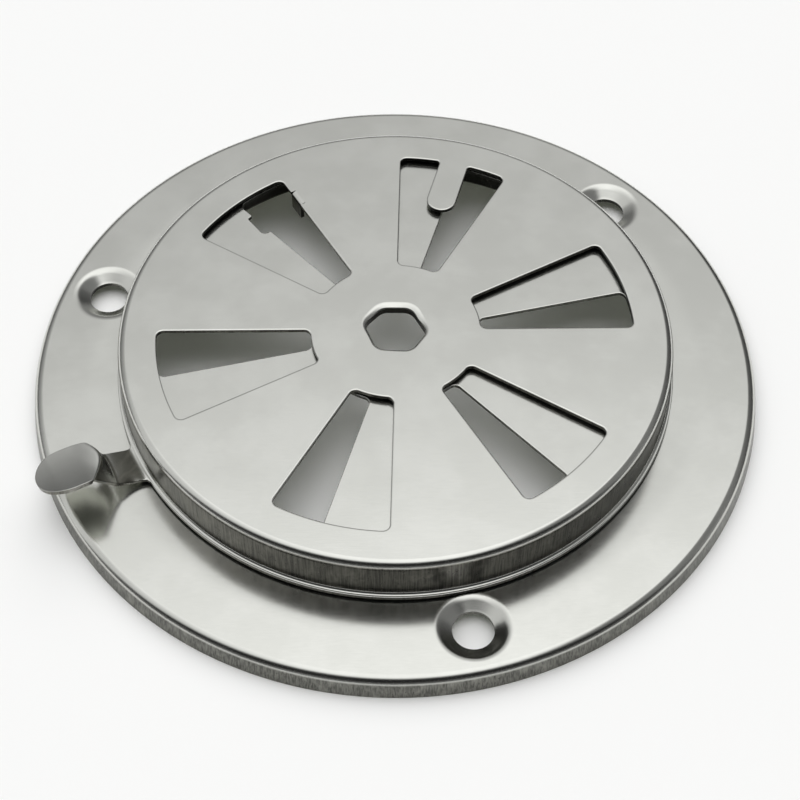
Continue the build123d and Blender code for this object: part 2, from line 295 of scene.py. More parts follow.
class Shell:
    """Vertices with their own normals, and faces, in millimetres."""

    def __init__(self):
        self.co, self.no, self.faces = [], [], []

    def ring(self, points, normals):
        start = len(self.co)
        self.co += [tuple(p) for p in points]
        self.no += [tuple(n) for n in normals]
        return list(range(start, len(self.co)))

    def bridge(self, a, b, closed=True, skip=()):
        n = len(a)
        for i in range(n if closed else n - 1):
            if i not in skip:
                j = (i + 1) % n
                self.faces.append((a[i], a[j], b[j], b[i]))

    def revolve(self, profile, angles, skip_rows=(), skip_columns=()):
        """Rings for (r, z, normal r, normal z) rows, joined up.

        The faces after skip_rows are left out in skip_columns.
        """
        c, s = np.cos(np.radians(angles)), np.sin(np.radians(angles))
        rings = []
        for r, z, nr, nz in profile:
            points = np.stack((r * c, r * s, np.full_like(c, z)), 1)
            normals = np.stack((nr * c, nr * s, np.full_like(c, nz)), 1)
            rings.append(self.ring(points, normals))
        for k in range(len(rings) - 1):
            self.bridge(rings[k], rings[k + 1], skip=skip_columns if k in skip_rows else ())
        return rings

    def edge(self, loop, top_z, roll=PUNCH_ROLL):
        """The rolled edge round a hole in a flat sheet, with one roll or one per point.

        Returns its top and bottom rings.
        """
        inward = loop_normals(loop)
        roll = np.broadcast_to(roll, len(loop))
        rings = []
        for out, down, n_out, n_up in edge_profile(1.0, 0.0, 0.0)[:EDGE_ARC]:
            xy = loop + inward * ((out - 1) * roll)[:, None]
            normals = np.column_stack((inward * n_out, np.full(len(xy), n_up)))
            rings.append(self.ring(np.column_stack((xy, top_z - down * roll)), normals))
        for out, down, n_out, n_up in EDGE[EDGE_ARC:]:
            xy = loop + inward * (out - PUNCH_ROLL)
            normals = np.column_stack((inward * n_out, np.full(len(xy), n_up)))
            rings.append(self.ring(np.column_stack((xy, np.full(len(xy), top_z - down))), normals))
        for a, b in zip(rings, rings[1:]):
            self.bridge(a, b)
        return rings[0], rings[-1]

    def fill(self, outer, holes, height, up, pitch=FILL_PITCH, extra=(), keep_clear=()):
        """Triangles between rings. height(xy) gives z and normals for the points between them.

        extra points are added to the even ones, which keep_clear, (centre, distance), leaves out.
        """
        ids = list(outer) + [i for hole in holes for i in hole]
        loops = [np.array([self.co[i][:2] for i in ring]) for ring in (outer, *holes)]
        border = np.vstack(loops)
        radii = np.linalg.norm(loops[0], axis=1).max()
        inner = np.array([
            polar(r, 360 * k / round(2 * math.pi * r / pitch) + FILL_TWIST * r)
            for r in np.arange(pitch, radii, pitch)
            for k in range(round(2 * math.pi * r / pitch))
        ])
        for centre, clear in keep_clear:
            inner = inner[np.linalg.norm(inner - centre, axis=1) > clear]
        if len(extra):
            near = np.array([np.linalg.norm(extra - p, axis=1).min() for p in inner])
            inner = np.vstack((inner[near > 0.4 * pitch], extra))
        gap = np.concatenate([
            np.linalg.norm(part[:, None] - border[None], axis=2).min(1)
            for part in np.array_split(inner, 40)
        ])
        wanted = inside(inner, loops[0])
        for hole in loops[1:]:
            wanted &= ~inside(inner, hole)
        inner = inner[wanted & (gap > FILL_GAP)]
        edges, first = [], 0
        for loop in loops:
            edges += [(first + i, first + (i + 1) % len(loop)) for i in range(len(loop))]
            first += len(loop)
        z, normals = height(inner)
        ids += self.ring(np.column_stack((inner, z)), normals if up else -normals)
        flat = np.vstack((border, inner))
        made = delaunay_2d_cdt([Vector(p) for p in flat], edges, [], 0, 1e-7, True)
        origin = [o[0] if o else None for o in made[3]]
        faces = np.array([[origin[i] for i in f] for f in made[2]])
        middle = flat[faces].mean(1)
        keep = inside(middle, loops[0])
        for hole in loops[1:]:
            keep &= ~inside(middle, hole)
        for face in faces[keep]:
            self.faces.append(tuple(ids[i] for i in (face if up else face[::-1])))

    def build(self, name, material):
        """An object of the shell in metres, with its own normals as the mesh's custom ones."""
        mesh = bpy.data.meshes.new(name)
        mesh.from_pydata([tuple(MM * v for v in p) for p in self.co], [], self.faces)
        mesh.attributes.new("shell_normal", "FLOAT_VECTOR", "POINT").data.foreach_set(
            "vector", np.array(self.no, np.float32).ravel())
        bm = bmesh.new()
        bm.from_mesh(mesh)
        bmesh.ops.delete(bm, geom=[v for v in bm.verts if not v.link_faces], context="VERTS")
        bmesh.ops.recalc_face_normals(bm, faces=bm.faces)
        bm.to_mesh(mesh)
        bm.free()
        for polygon in mesh.polygons:
            polygon.use_smooth = True
        layer = mesh.attributes["shell_normal"]
        wanted = np.zeros(len(mesh.vertices) * 3, np.float32)
        layer.data.foreach_get("vector", wanted)
        wanted = wanted.reshape(-1, 3)
        wanted /= np.linalg.norm(wanted, axis=1)[:, None]
        mesh.attributes.remove(layer)
        mesh.normals_split_custom_set_from_vertices([tuple(n) for n in wanted])
        mesh.materials.append(material)
        return new_object(name, mesh)


def arc_rows(r, z, radius, start, end, count, sign=1):
    """Profile rows round an arc, with angles from +Z towards +R.

    sign -1 turns the normals to the arc's inside.
    """
    rows = []
    for k in range(count + 1):
        a = math.radians(start + (end - start) * k / count)
        s, c = math.sin(a), math.cos(a)
        rows.append((r + radius * s, z + radius * c, sign * s, sign * c))
    return rows


def flat_height(z):
    """A height function for Shell.fill: a level face."""
    return lambda xy: (np.full(len(xy), z), np.tile((0.0, 0.0, 1.0), (len(xy), 1)))


# ---- Base plate ----
def dimple_drop(distance):
    """How far the sheet is sunk at a distance from a screw hole's centre, and its slope."""
    reach = DIMPLE_R - SCREW_HOLE_R
    t = np.clip((DIMPLE_R - distance) / reach, 0, 1.05)     # 0 at the ring's outer edge, 1 at the hole
    full = 1 - DIMPLE_SHOULDER / 2
    drop = np.where(t < DIMPLE_SHOULDER, t**2 / (2 * DIMPLE_SHOULDER), t - DIMPLE_SHOULDER / 2) / full
    slope = np.minimum(t / DIMPLE_SHOULDER, 1) / full
    return DIMPLE_DEPTH * drop, -DIMPLE_DEPTH * slope / reach


def flange_height(xy):
    """The flange's top face: a faint step, and the sunk ring round each screw hole."""
    r = np.linalg.norm(xy, axis=1)
    t = np.clip((STEP_R + STEP_WIDTH / 2 - r) / STEP_WIDTH, 0, 1)
    z = FLANGE_Z + STEP_RISE * t * t * (3 - 2 * t)
    slope = -STEP_RISE * 6 * t * (1 - t) / STEP_WIDTH
    gradient = xy / r[:, None] * slope[:, None]
    for angle in SCREW_ANGLES:
        away = xy - polar(SCREW_PCD_R, angle)
        distance = np.linalg.norm(away, axis=1)
        drop, drop_slope = dimple_drop(distance)
        z = z - drop
        gradient = gradient - away / distance[:, None] * drop_slope[:, None]
    normals = np.column_stack((-gradient, np.ones(len(xy))))
    return z, normals / np.linalg.norm(normals, axis=1)[:, None]


def flange_under(xy):
    z, normals = flange_height(xy)
    return z - SHEET, normals


def screw_hole_rings(shell, angle):
    """The punched edge of one screw hole, from the sunk ring's top face to its underside."""
    count = 96
    turn = 360 * np.arange(count) / count
    out = np.array([polar(1, a) for a in turn])
    centre = polar(SCREW_PCD_R, angle)
    drop, slope = dimple_drop(np.array([SCREW_HOLE_R + BURR_ROLL]))
    rings = []
    for outward, down, n_out, n_up in edge_profile(BURR_ROLL, BURR_ROLL, SHEET):
        d = SCREW_HOLE_R + BURR_ROLL - outward
        tilt = math.atan(-slope[0]) * abs(n_up)
        n_r, n_z = -n_out - math.sin(tilt) * n_up, n_up
        length = math.hypot(n_r, n_z)
        z = FLANGE_Z - drop[0] - down
        points = np.column_stack((centre + out * d, np.full(count, z)))
        normals = np.column_stack((out * n_r / length, np.full(count, n_z / length)))
        rings.append(shell.ring(points, normals))
    for a, b in zip(rings, rings[1:]):
        shell.bridge(a, b)
    return rings[0], rings[-1]


def build_base(material):
    shell = Shell()
    angles = np.arange(BASE_COLUMNS) * (360 / BASE_COLUMNS)
    edge_z = FLANGE_Z - FLANGE_EDGE_R
    lean = math.degrees(math.atan(SKIRT_DRAFT))
    slant = math.hypot(1, SKIRT_DRAFT)
    edge_r = FLANGE_R - SKIRT_DRAFT * edge_z - FLANGE_EDGE_R * slant
    skirt = (1 / slant, SKIRT_DRAFT / slant)
    inner_edge_r = FLANGE_EDGE_R - SHEET
    rim = SKIRT_RIM
    inner_r = FLANGE_R - SHEET * slant

    # Plateau top, its edge, wall and foot, down to the flange.
    top_r = PLATEAU_R - PLATEAU_EDGE_R
    foot_r, foot_z = PLATEAU_R + PLATEAU_FOOT_R, FLANGE_Z + STEP_RISE + PLATEAU_FOOT_R
    rows = arc_rows(top_r, PLATEAU_Z - PLATEAU_EDGE_R, PLATEAU_EDGE_R, 0, 90, 8)
    rows += arc_rows(foot_r, foot_z, PLATEAU_FOOT_R, 270, 180, 6, -1)
    plateau = shell.revolve(rows, angles)
    windows = []
    for k in range(WINDOW_COUNT):
        cut = ("anticlockwise", NOTCH) if k == STOP_WINDOW else ()
        windows.append(shell.edge(window_loop(BASE_WINDOW_OUTER_R, k * WINDOW_PITCH, cut), PLATEAU_Z))
    pivot = shell.edge(np.array([polar(PIVOT_HOLE_R, a) for a in range(0, 360, 3)]), PLATEAU_Z)
    shell.fill(plateau[0], [w[0] for w in windows] + [pivot[0]], flat_height(PLATEAU_Z), True)

    # Flange with three sunk screw holes.
    rows = arc_rows(edge_r, edge_z, FLANGE_EDGE_R, 0, 90 - lean, 14)
    for z in (1.8, 1.2, 0.6, rim):
        rows.append((FLANGE_R - SKIRT_DRAFT * z, z, *skirt))
    rows.append((FLANGE_R - rim * 0.45, 0.02, 0.7, -0.7))
    rows.append((FLANGE_R - rim * 1.2, 0.0, 0.0, -1.0))
    rows.append((inner_r + rim * 1.2, 0.0, 0.0, -1.0))
    rows.append((inner_r, rim, -skirt[0], -skirt[1]))
    rows += arc_rows(edge_r, edge_z, inner_edge_r, 90 - lean, 0, 8, -1)
    skirt_rings = shell.revolve(rows, angles)
    holes = [screw_hole_rings(shell, angle) for angle in SCREW_ANGLES]
    rings = [polar(d, a) + polar(SCREW_PCD_R, angle) for angle in SCREW_ANGLES
             for d in np.arange(*DIMPLE_RINGS) for a in range(0, 360, 5)]
    steps = [polar(r, a) for r in np.arange(*STEP_RINGS) for a in range(360)
             if min(abs(a - s) for s in SCREW_ANGLES) > 8]
    around = [(polar(SCREW_PCD_R, angle), DIMPLE_CLEAR) for angle in SCREW_ANGLES]
    spacing = (FLANGE_PITCH, np.array(rings + steps), around)
    shell.fill(skirt_rings[0], [plateau[-1]] + [h[0] for h in holes], flange_height, True, *spacing)

    # Underside: plateau, wall and flange.
    rows = arc_rows(foot_r, foot_z, PLATEAU_FOOT_R + SHEET, 180, 270, 6)
    rows += arc_rows(top_r, PLATEAU_Z - PLATEAU_EDGE_R, PLATEAU_EDGE_R - SHEET, 90, 0, 6, -1)
    under = shell.revolve(rows, angles)
    shell.fill(skirt_rings[-1], [under[0]] + [h[1] for h in holes], flange_under, False, *spacing)
    shell.fill(under[-1], [w[1] for w in windows] + [pivot[1]], flat_height(PLATEAU_Z - SHEET), False)
    return shell.build("base_plate_shell", material)


# ---- Shutter cap ----
def lever_columns():
    """Angles of the cap's columns: even ones all round, and a fan of finer ones at the lever's root."""
    half = math.degrees(math.asin(LEVER_ROOT_HALF_WIDTH / (LIP_R - PUNCH_ROLL)))
    fan = np.linspace(LEVER_ANGLE - half, LEVER_ANGLE + half, LEVER_COLUMNS)
    rest = np.linspace(LEVER_ANGLE + half, LEVER_ANGLE - half + 360, CAP_COLUMNS)[1:-1]
    return np.concatenate((fan, rest)), len(fan)


def lever_line(offset):
    """The lever's top face along one line beside its middle, with each bend rounded: x and z."""
    fold, bow, middle = PAD_FOLD
    fold_corner = (fold + bow * (offset - middle)**2, PAD_Z)
    corners = [np.array(c) for c in (*NECK_LINE, fold_corner, *PAD_LINE)]
    points = [corners[0]]
    for before, corner, after in zip(corners, corners[1:], corners[2:]):
        a, b = before - corner, after - corner
        a, b = a / np.linalg.norm(a), b / np.linalg.norm(b)
        reach = LEVER_BEND_R / math.tan(math.acos(float(a @ b)) / 2)
        for k in range(13):
            t = k / 12
            points.append(corner + a * reach * (1 - t)**2 + b * reach * t**2)
    points.append(corners[-1])
    return np.array(points)


def eased(x, start, length):
    """0 up to start, 1 from start + length on, and smooth between them."""
    t = min(1, max(0, (x - start) / length))
    return t * t * (3 - 2 * t)


def lever_half_width(x):
    """Half the width of the lever's flat top face, inside its rounded edge."""
    neck, pad, tip = (v - PUNCH_ROLL for v in (NECK_HALF_WIDTH, PAD_HALF_WIDTH, PAD_TIP_R))
    if x < LIP_R + LEVER_ROOT_LENGTH:
        u = min(1, (x - (LIP_R - PUNCH_ROLL)) / LEVER_ROOT_LENGTH)
        fillet = 1 - math.sqrt(max(0, 1 - (1 - u)**2))
        return neck + (LEVER_ROOT_HALF_WIDTH - NECK_HALF_WIDTH) * fillet
    if x < PAD_TAPER_R:
        return neck + (pad - neck) * eased(x, *PAD_WIDENS)
    return pad * math.sqrt(max(0, 1 - ((x - PAD_TAPER_R) / (tip - PAD_TAPER_R))**PAD_TIP_SHAPE))


def build_lever(shell, rings, first_row, last_row, columns):
    """The lever grows out of the lip: its faces carry on from the lip's top and bottom rings."""
    tip = PAD_TIP_R - PUNCH_ROLL
    x_rows = [*np.arange(47.9, 52.0, 0.25), *np.arange(52.0, 57.4, 0.09), *np.arange(57.5, PAD_TAPER_R, 0.25)]
    x_rows += [PAD_TAPER_R + (tip - PAD_TAPER_R) * math.sin(math.pi / 2 * k / 30) for k in range(30)]
    x_rows.append(tip - 0.004)     # the last row keeps a little width
    c, s = math.cos(math.radians(LEVER_ANGLE)), math.sin(math.radians(LEVER_ANGLE))
    along, across = np.array((c, s, 0.0)), np.array((-s, c, 0.0))
    n_columns = len(columns)
    top_ids = [rings[first_row][i] for i in columns]
    root = np.array([shell.co[i] for i in top_ids])
    weights = (root @ across) / (root @ across)[-1]
    bow = root @ along
    bow = bow - bow[n_columns // 2]
    lines = [lever_line(weight * NECK_HALF_WIDTH) for weight in weights]
    dent_x, dent_reach, dent_depth = NECK_DENT
    near_side = np.clip((weights - NECK_DENT_SIDE) / (1 - NECK_DENT_SIDE), 0, 1)**2
    grid = [root]
    for x in x_rows:
        xs = x + bow * max(0.0, 1 - (x - NECK_LINE[0][0]) / LEVER_ROOT_BOW)
        ys = weights * lever_half_width(x)
        zs = np.array([np.interp(xs[i], lines[i][:, 0], lines[i][:, 1]) for i in range(n_columns)])
        twist = math.tan(math.radians(PAD_TWIST)) * ys + PAD_HOLLOW * (ys / PAD_HALF_WIDTH)**2
        zs += eased(x, *PAD_LEANS) * twist
        zs -= dent_depth * near_side * math.exp(-((x - dent_x) / dent_reach)**2)
        grid.append(xs[:, None] * along + ys[:, None] * across + np.outer(zs, (0, 0, 1)))
    grid = np.array(grid)
    du, dv = np.gradient(grid, axis=0), np.gradient(grid, axis=1)
    normals = np.cross(du, dv)
    normals /= np.linalg.norm(normals, axis=2)[:, :, None]
    normals[0] = (0, 0, 1)

    tops = [top_ids] + [shell.ring(grid[j], normals[j]) for j in range(1, len(grid))]
    for a, b in zip(tops, tops[1:]):
        shell.bridge(a, b, closed=False)

    # Its edge runs out along one side, round the tip and back to the lip.
    last = len(grid) - 1
    path = [(j, 0) for j in range(last + 1)] + [(last, i) for i in range(1, n_columns)]
    path += [(j, n_columns - 1) for j in range(last - 1, -1, -1)]
    spots = np.array([grid[j, i] for j, i in path])
    ups = np.array([normals[j, i] for j, i in path])
    walked = np.concatenate(([0], np.cumsum(np.linalg.norm(np.diff(spots, axis=0), axis=1))))
    ahead, behind = (
        np.column_stack([np.interp(walked + step, walked, spots[:, i]) for i in range(3)])
        for step in (TANGENT_STEP, -TANGENT_STEP)
    )
    tangent = ahead - behind
    outward = np.cross(ups, tangent)
    outward /= np.linalg.norm(outward, axis=1)[:, None]
    if outward[len(path) // 2] @ along < 0:
        outward = -outward
    strips = []
    for k in range(len(path)):
        if k in (0, len(path) - 1):
            column = columns[0] if k == 0 else columns[-1]
            strips.append([rings[row][column] for row in range(first_row, last_row + 1)])
            continue
        points = [spots[k] + outward[k] * e[0] - ups[k] * e[1] for e in EDGE]
        edge_normals = [outward[k] * e[2] + ups[k] * e[3] for e in EDGE]
        ids = shell.ring(points[1:], edge_normals[1:])
        strips.append([tops[path[k][0]][path[k][1]]] + ids)
    for a, b in zip(strips, strips[1:]):
        shell.bridge(a, b, closed=False)

    below = grid - SHEET * normals
    bottoms = [[rings[last_row][i] for i in columns]]
    bottoms += [shell.ring(below[j], -normals[j]) for j in range(1, last + 1)]
    for k, (j, i) in enumerate(path):
        if j:
            bottoms[j][i] = strips[k][-1]
    for a, b in zip(bottoms, bottoms[1:]):
        shell.bridge(b, a, closed=False)


def stop_tab(shell):
    """The stop tab: bent down out of the side of one cap window, between two relief cuts."""
    bend, roll = RELIEF_DEPTH, STOP_EDGE_ROLL
    outer, inner = bend, bend - SHEET
    corners = ((STOP_INNER_R, outer, -1, 1), (STOP_OUTER_R, outer, 1, 1),
               (STOP_OUTER_R, inner, 1, -1), (STOP_INNER_R, inner, -1, -1))
    sections = []              # height, and the normal of the tab's outer face
    for k in range(9):
        a = math.pi / 2 * k / 8
        sections.append((CAP_Z - bend, math.sin(a), math.cos(a)))
    sections += [(z, 1.0, 0.0) for z in (11.0, 10.0, STOP_BOTTOM_Z + 0.1)]
    rings = []
    for z, ny, nz in sections:
        points, normals = [], []
        for index, (x, reach, sx, sr) in enumerate(corners):
            for k in range(3):
                a = math.pi / 2 * (k / 2 if index in (1, 3) else 1 - k / 2)
                nx, nr = sx * math.sin(a), sr * math.cos(a)
                px = x - sx * roll + roll * nx
                pr = reach - sr * roll + roll * nr
                points.append((px, -bend + ny * pr, z + nz * pr))
                normals.append((nx, ny * nr, nz * nr))
        points, normals = np.array(points), np.array(normals)
        rings.append(shell.ring(np.column_stack((turned(points[:, :2], STOP_ANGLE), points[:, 2])),
                                np.column_stack((turned(normals[:, :2], STOP_ANGLE), normals[:, 2]))))
    for a, b in zip(rings, rings[1:]):
        shell.bridge(a, b)
    middle = (STOP_INNER_R + STOP_OUTER_R) / 2
    centre = turned([(middle, -bend + (2 * bend - SHEET) / 2)], STOP_ANGLE)[0]
    tip = shell.ring([(*centre, STOP_BOTTOM_Z)], [(0, 0, -1)])[0]
    root = turned([(middle, -bend)], STOP_ANGLE)[0]
    start = shell.ring([(*root, CAP_Z - SHEET / 2)], [(0, 0, 1)])[0]
    for i in range(len(rings[0])):
        j = (i + 1) % len(rings[0])
        shell.faces.append((rings[-1][i], rings[-1][j], tip))
        shell.faces.append((rings[0][j], rings[0][i], start))


def bore_radius(angles):
    """The six-sided bore's radius at each angle, with its corners rounded."""
    corners = [(*polar(r, a), BORE_CORNER_R) for a, r in BORE_CORNERS]
    loop = rounded_loop(corners, 0.3)
    turn = np.degrees(np.arctan2(loop[:, 1], loop[:, 0])) % 360
    order = np.argsort(turn)
    radius = np.linalg.norm(loop, axis=1)
    return np.interp(angles % 360, turn[order], radius[order], period=360)


def hub(shell):
    """The collar: rounded mouth, six-sided bore, swaged end and outer face.

    Returns the rings that join the disc's upper and lower faces.
    """
    angles = np.arange(180) * 2.0
    bore = bore_radius(angles)
    c, s = np.cos(np.radians(angles)), np.sin(np.radians(angles))
    rings = []

    def add(radius, z, n_r, n_z):
        radius, z = np.broadcast_to(radius, c.shape), np.broadcast_to(z, c.shape)
        points = np.column_stack((radius * c, radius * s, z))
        length = math.hypot(n_r, n_z)
        normals = np.stack((c * n_r / length, s * n_r / length, np.full_like(c, n_z / length)), 1)
        rings.append(shell.ring(points, normals))

    lead = MOUTH_LEAD * (0.2 + 0.8 * np.clip(s + 0.35, 0, 1.1))     # wide at the back, narrow in front
    for part, drop, lean in MOUTH_LEAD_ROWS:
        a = math.radians(lean)
        add(bore + MOUTH_ROLL + part * lead, CAP_Z - drop * lead, -math.sin(a), math.cos(a))
    first = math.radians(MOUTH_START)
    for k in range(9):
        a = math.radians(MOUTH_START + (90 - MOUTH_START) * k / 8)
        down = math.cos(first) - math.cos(a)
        out = 1 - (math.sin(a) - math.sin(first)) / (1 - math.sin(first))
        z = CAP_Z - MOUTH_LEAD_DROP * lead - MOUTH_ROLL * down
        add(bore + MOUTH_ROLL * out, z, -math.sin(a), math.cos(a))
    (top_r, top_z), (waist_r, waist_z), (foot_r, foot_z) = FLARE
    add(bore, top_z + 0.1, -1, 0)
    add(bore, top_z, -1, -0.3)
    add((bore + waist_r) / 2, (top_z + waist_z) / 2, -0.75, -0.65)
    add(waist_r, waist_z, -0.75, -0.65)
    add((waist_r + foot_r) / 2, (waist_z + foot_z) / 2, -0.72, -0.69)
    add(foot_r - 0.05, foot_z + 0.05, -0.7, -0.71)
    add(foot_r + 0.1, foot_z, -0.1, -1)
    half = SWAGE_THICKNESS / 2
    for k in range(9):
        a = math.pi * k / 8
        out, up = math.sin(a), -math.cos(a)
        add(SWAGE_R - half + half * out, SWAGE_Z + half * (1 + up), out, up)
    add(FLARE_FOOT_R + 0.15, SWAGE_Z + SWAGE_THICKNESS, 0.1, 1)
    add(FLARE_FOOT_R, SWAGE_Z + SWAGE_THICKNESS + 0.1, 0.6, 0.8)
    add(COLLAR_R + 0.1, FLARE_NECK_Z - 0.1, 0.6, 0.8)
    add(COLLAR_R, FLARE_NECK_Z + 0.1, 1, 0.1)
    for k in range(4):
        a = math.pi / 2 * k / 3
        radius = COLLAR_R + COLLAR_ROOT_R * (1 - math.cos(a))
        add(radius, CAP_Z - SHEET - COLLAR_ROOT_R * (1 - math.sin(a)), math.cos(a), -math.sin(a))
    for a, b in zip(rings, rings[1:]):
        shell.bridge(a, b)
    return rings[0], rings[-1]


def build_cap(material):
    shell = Shell()
    angles, fan = lever_columns()
    top_r = CAP_R - CAP_EDGE_R
    root_r, root_z = CAP_R + LIP_ROOT_R, LIP_Z + LIP_ROOT_R
    rows = arc_rows(top_r, CAP_Z - CAP_EDGE_R, CAP_EDGE_R, 0, 90, 14)
    rows += [(CAP_R, z, 1.0, 0.0) for z in (10.0, 8.0, 6.4)]
    rows += arc_rows(root_r, root_z, LIP_ROOT_R, 270, 180, 6, -1)
    first_row = len(rows)
    rows += [(LIP_R - PUNCH_ROLL + e[0], LIP_Z - e[1], e[2], e[3]) for e in EDGE]
    last_row = len(rows) - 1
    rows += arc_rows(root_r, root_z, LIP_ROOT_R + SHEET, 180, 270, 6)
    rows += arc_rows(top_r, CAP_Z - CAP_EDGE_R, CAP_EDGE_R - SHEET, 90, 0, 6, -1)
    rings = shell.revolve(rows, angles, range(first_row, last_row), range(fan - 1))
    build_lever(shell, rings, first_row, last_row, list(range(fan)))

    inner_x, outer_x = STOP_INNER_R - RELIEF_WIDTH, STOP_OUTER_R + RELIEF_WIDTH
    relief = [(x, y, RELIEF_ROUNDING) for x, y in (
        (inner_x, 0.0), (inner_x, RELIEF_DEPTH), (outer_x, RELIEF_DEPTH), (outer_x, 0.0))]
    stop = polar((STOP_INNER_R + STOP_OUTER_R) / 2, STOP_ANGLE)
    windows = []
    for k in range(WINDOW_COUNT):
        cut = ("clockwise", relief) if k == STOP_WINDOW else ()
        angle = CAP_WINDOW_ANGLE + k * WINDOW_PITCH
        loop = window_loop(CAP_WINDOW_OUTER_R, angle, cut, k == TONGUE_WINDOW)
        away = np.linalg.norm(loop - stop, axis=1)
        full = np.clip((away - STOP_WINDOW_SHARP) / STOP_WINDOW_FADE, 0, 1)
        roll = STOP_WINDOW_ROLL + (CAP_WINDOW_ROLL - STOP_WINDOW_ROLL) * full
        windows.append(shell.edge(loop, CAP_Z, roll))
    stop_tab(shell)
    mouth, collar = hub(shell)
    shell.fill(rings[0], [w[0] for w in windows] + [mouth], flat_height(CAP_Z), True)
    shell.fill(rings[-1], [w[1] for w in windows] + [collar], flat_height(CAP_Z - SHEET), False)
    return shell.build("shutter_cap_shell", material)


# ---- Materials ----
PIT_COLOUR = (0.03, 0.03, 0.028)
# Painted shade: near black for walls that face the axis, where little light reaches under the plate.
INNER_WALL_PAINTED_SHADE = (0.012, 0.012, 0.01)
SHEET_BUMP = 6e-06            # height of the grain, in metres
WASHER_BUMP = 4e-06


def new_material(name):
    material = bpy.data.materials.new(name)
    material.use_nodes = True
    return material, material.node_tree.nodes, material.node_tree.links


def smooth_step(nodes, links, value, low, high, out_low, out_high):
    node = nodes.new("ShaderNodeMapRange")
    node.interpolation_type = "SMOOTHSTEP"
    links.new(value, node.inputs["Value"])
    node.inputs["From Min"].default_value = low
    node.inputs["From Max"].default_value = high
    node.inputs["To Min"].default_value = out_low
    node.inputs["To Max"].default_value = out_high
    return node.outputs["Result"]


def joined(nodes, links, operation, a, b):
    node = nodes.new("ShaderNodeMath")
    node.operation = operation
    for socket, value in zip(node.inputs, (a, b)):
        if isinstance(value, (int, float)):
            socket.default_value = value
        else:
            links.new(value, socket)
    return node.outputs[0]


class Nodes:
    """Short calls for the nodes of one material."""

    def __init__(self, name):
        self.material, self.nodes, self.links = new_material(name)
        self.shader = self.nodes["Principled BSDF"]
        self.place = self.nodes.new("ShaderNodeTexCoord").outputs["Object"]

    def put(self, value, socket):
        if isinstance(value, (int, float, tuple)):
            socket.default_value = value
        else:
            self.links.new(value, socket)

    def math(self, operation, a, b=0.0):
        return joined(self.nodes, self.links, operation, a, b)

    def vector(self, operation, a, b=(0.0, 0.0, 0.0)):
        node = self.nodes.new("ShaderNodeVectorMath")
        node.operation = operation
        self.put(a, node.inputs[0])
        self.put(b, node.inputs[1])
        return node.outputs["Value" if operation == "DOT_PRODUCT" else "Vector"]

    def ramp(self, value, low, high, out_low, out_high):
        return smooth_step(self.nodes, self.links, value, low, high, out_low, out_high)

    def scaled(self, scale):
        node = self.nodes.new("ShaderNodeMapping")
        self.put(self.place, node.inputs["Vector"])
        node.inputs["Scale"].default_value = scale
        return node.outputs[0]

    def noise(self, scale, detail=3.0, rough=0.55, distortion=0.0):
        node = self.nodes.new("ShaderNodeTexNoise")
        self.put(self.scaled(scale), node.inputs["Vector"])
        node.inputs["Scale"].default_value = 1.0
        node.inputs["Detail"].default_value = detail
        node.inputs["Roughness"].default_value = rough
        node.inputs["Distortion"].default_value = distortion
        return node.outputs["Fac"]

    def spots(self, scale, low, high):
        """1 inside small scattered spots, 0 elsewhere."""
        node = self.nodes.new("ShaderNodeTexVoronoi")
        self.put(self.scaled(scale), node.inputs["Vector"])
        node.inputs["Scale"].default_value = 1.0
        return self.ramp(node.outputs["Distance"], low, high, 1, 0)

    def mix(self, factor, a, b):
        node = self.nodes.new("ShaderNodeMix")
        node.data_type = "RGBA"
        self.put(factor, node.inputs[0])
        self.put(a, node.inputs[6])
        self.put(b, node.inputs[7])
        return node.outputs[2]

    def bump(self, height, distance):
        node = self.nodes.new("ShaderNodeBump")
        self.put(height, node.inputs["Height"])
        node.inputs["Distance"].default_value = distance
        node.inputs["Strength"].default_value = 1.0
        return node.outputs[0]


def tone(colour, factor=1.0):
    return tuple(min(1, factor * c) for c in colour) + (1,)


